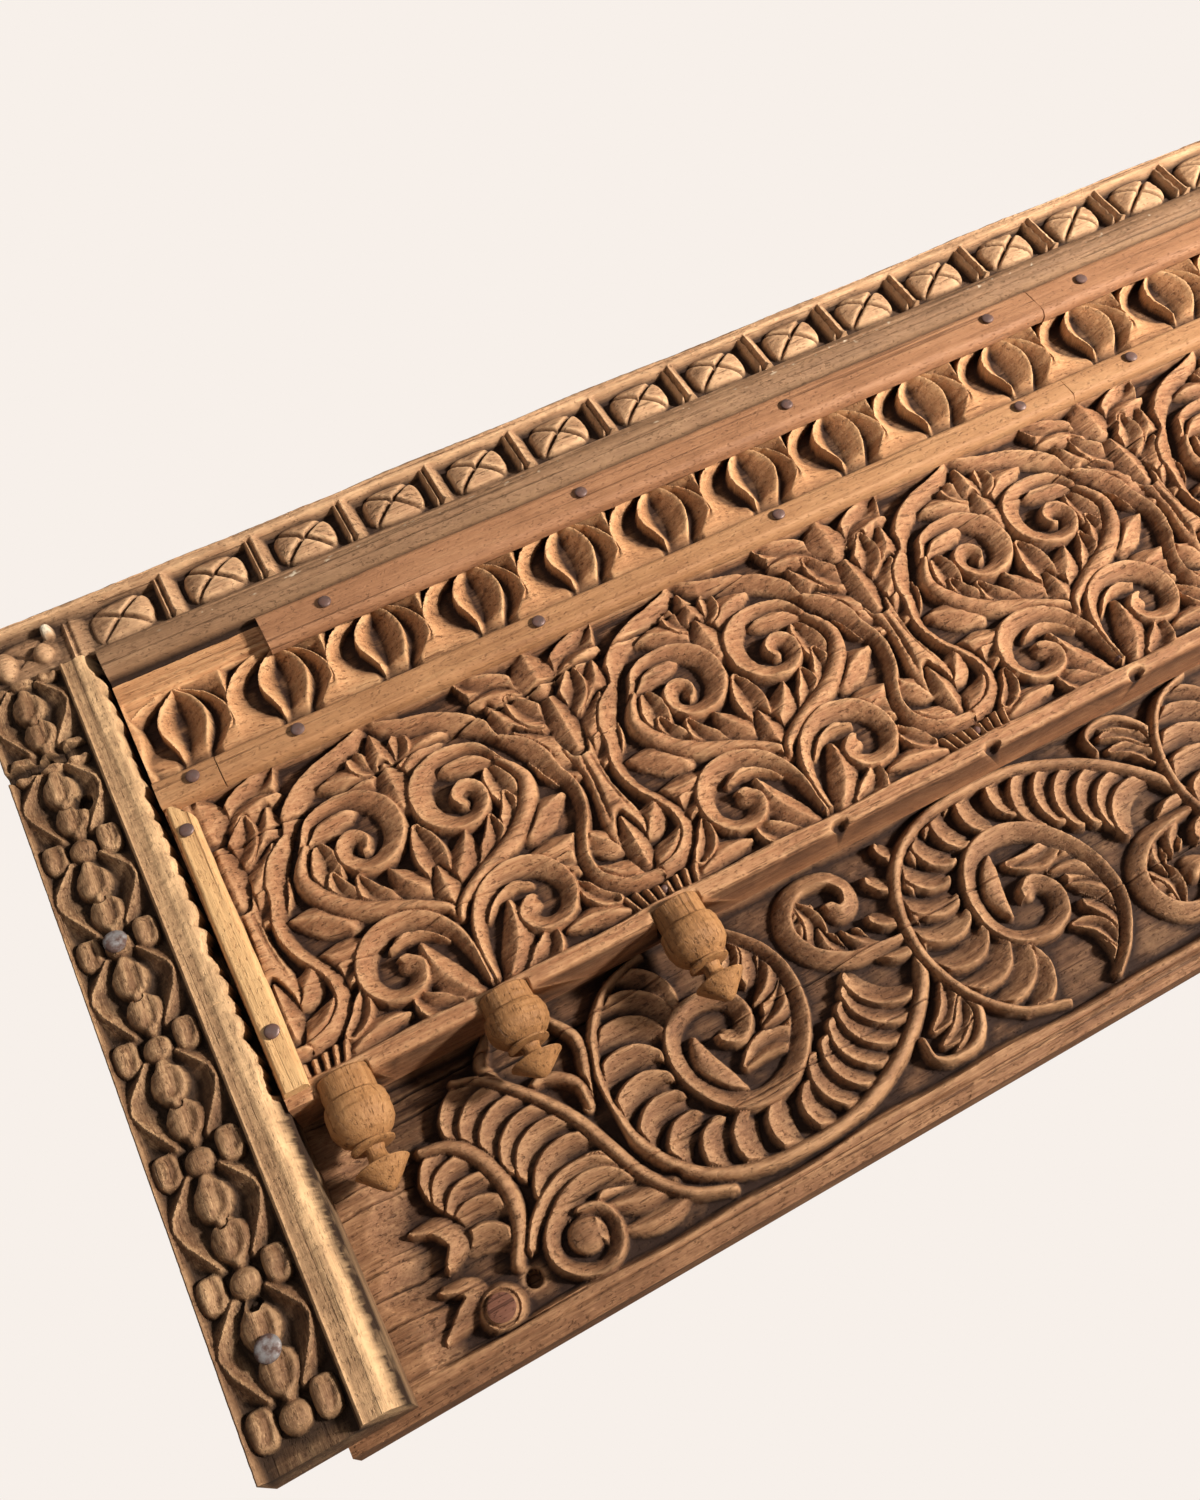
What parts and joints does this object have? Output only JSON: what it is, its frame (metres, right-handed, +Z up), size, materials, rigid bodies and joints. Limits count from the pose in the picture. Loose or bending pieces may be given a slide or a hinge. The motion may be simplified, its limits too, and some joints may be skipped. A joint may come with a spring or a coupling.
{
  "type": "carved wall panel",
  "caption": "Long carved wooden wall panel of nailed boards, with a moulded top rail, lotus band, scroll board, feathered vine board, beaded stiles and turned pendants.",
  "frame": {"origin": "middle of the top rail's back face, on the wall", "axes": "+X along the panel to the right as seen from the front, +Z up, +Y into the wall"},
  "size_m": [0.968, 0.066, 0.486],
  "materials": {
    "carved_wood": "old mid-brown hardwood, hand carved, dry and worn, dark in the recesses",
    "rail_wood": "weathered greyish brown hardwood, worn pale on the edges",
    "batten_wood": "paler golden wood, planed, fine grain along the length",
    "pendant_wood": "pale turned wood with fine upright cracks",
    "peg_wood": "red-brown end grain",
    "nail_iron": "old forged iron, purple-brown rust"
  },
  "bodies": {
    "root": {"top_rail": "rail_wood", "leaf_band_board": "carved_wood", "scroll_board": "carved_wood", "lower_board": "carved_wood", "left_stile": "rail_wood", "right_stile": "rail_wood", "upper_batten_1": "batten_wood", "upper_batten_2": "batten_wood", "lower_batten_1": "batten_wood", "lower_batten_2": "batten_wood", "lower_batten_3": "batten_wood", "left_end_batten": "batten_wood", "right_end_batten": "batten_wood", "pendant_1": "pendant_wood", "pendant_2": "pendant_wood", "pendant_3": "pendant_wood", "upper_nail_1": "nail_iron", "upper_nail_2": "nail_iron", "upper_nail_3": "nail_iron", "upper_nail_4": "nail_iron", "upper_nail_5": "nail_iron", "upper_nail_6": "nail_iron", "lower_nail_1": "nail_iron", "lower_nail_2": "nail_iron", "lower_nail_3": "nail_iron", "lower_nail_4": "nail_iron", "lower_nail_5": "nail_iron", "lower_nail_6": "nail_iron", "lower_nail_7": "nail_iron", "left_end_nail_1": "nail_iron", "left_end_nail_2": "nail_iron", "left_stile_nail_1": "nail_iron", "left_stile_nail_2": "nail_iron", "right_end_nail_1": "nail_iron", "right_end_nail_2": "nail_iron", "right_stile_nail_1": "nail_iron", "right_stile_nail_2": "nail_iron", "pin_1": "nail_iron", "pin_2": "nail_iron", "pin_3": "nail_iron", "pin_4": "nail_iron", "pin_5": "nail_iron", "pin_6": "nail_iron", "pin_7": "nail_iron", "wood_peg": "peg_wood"}
  },
  "joints": []
}
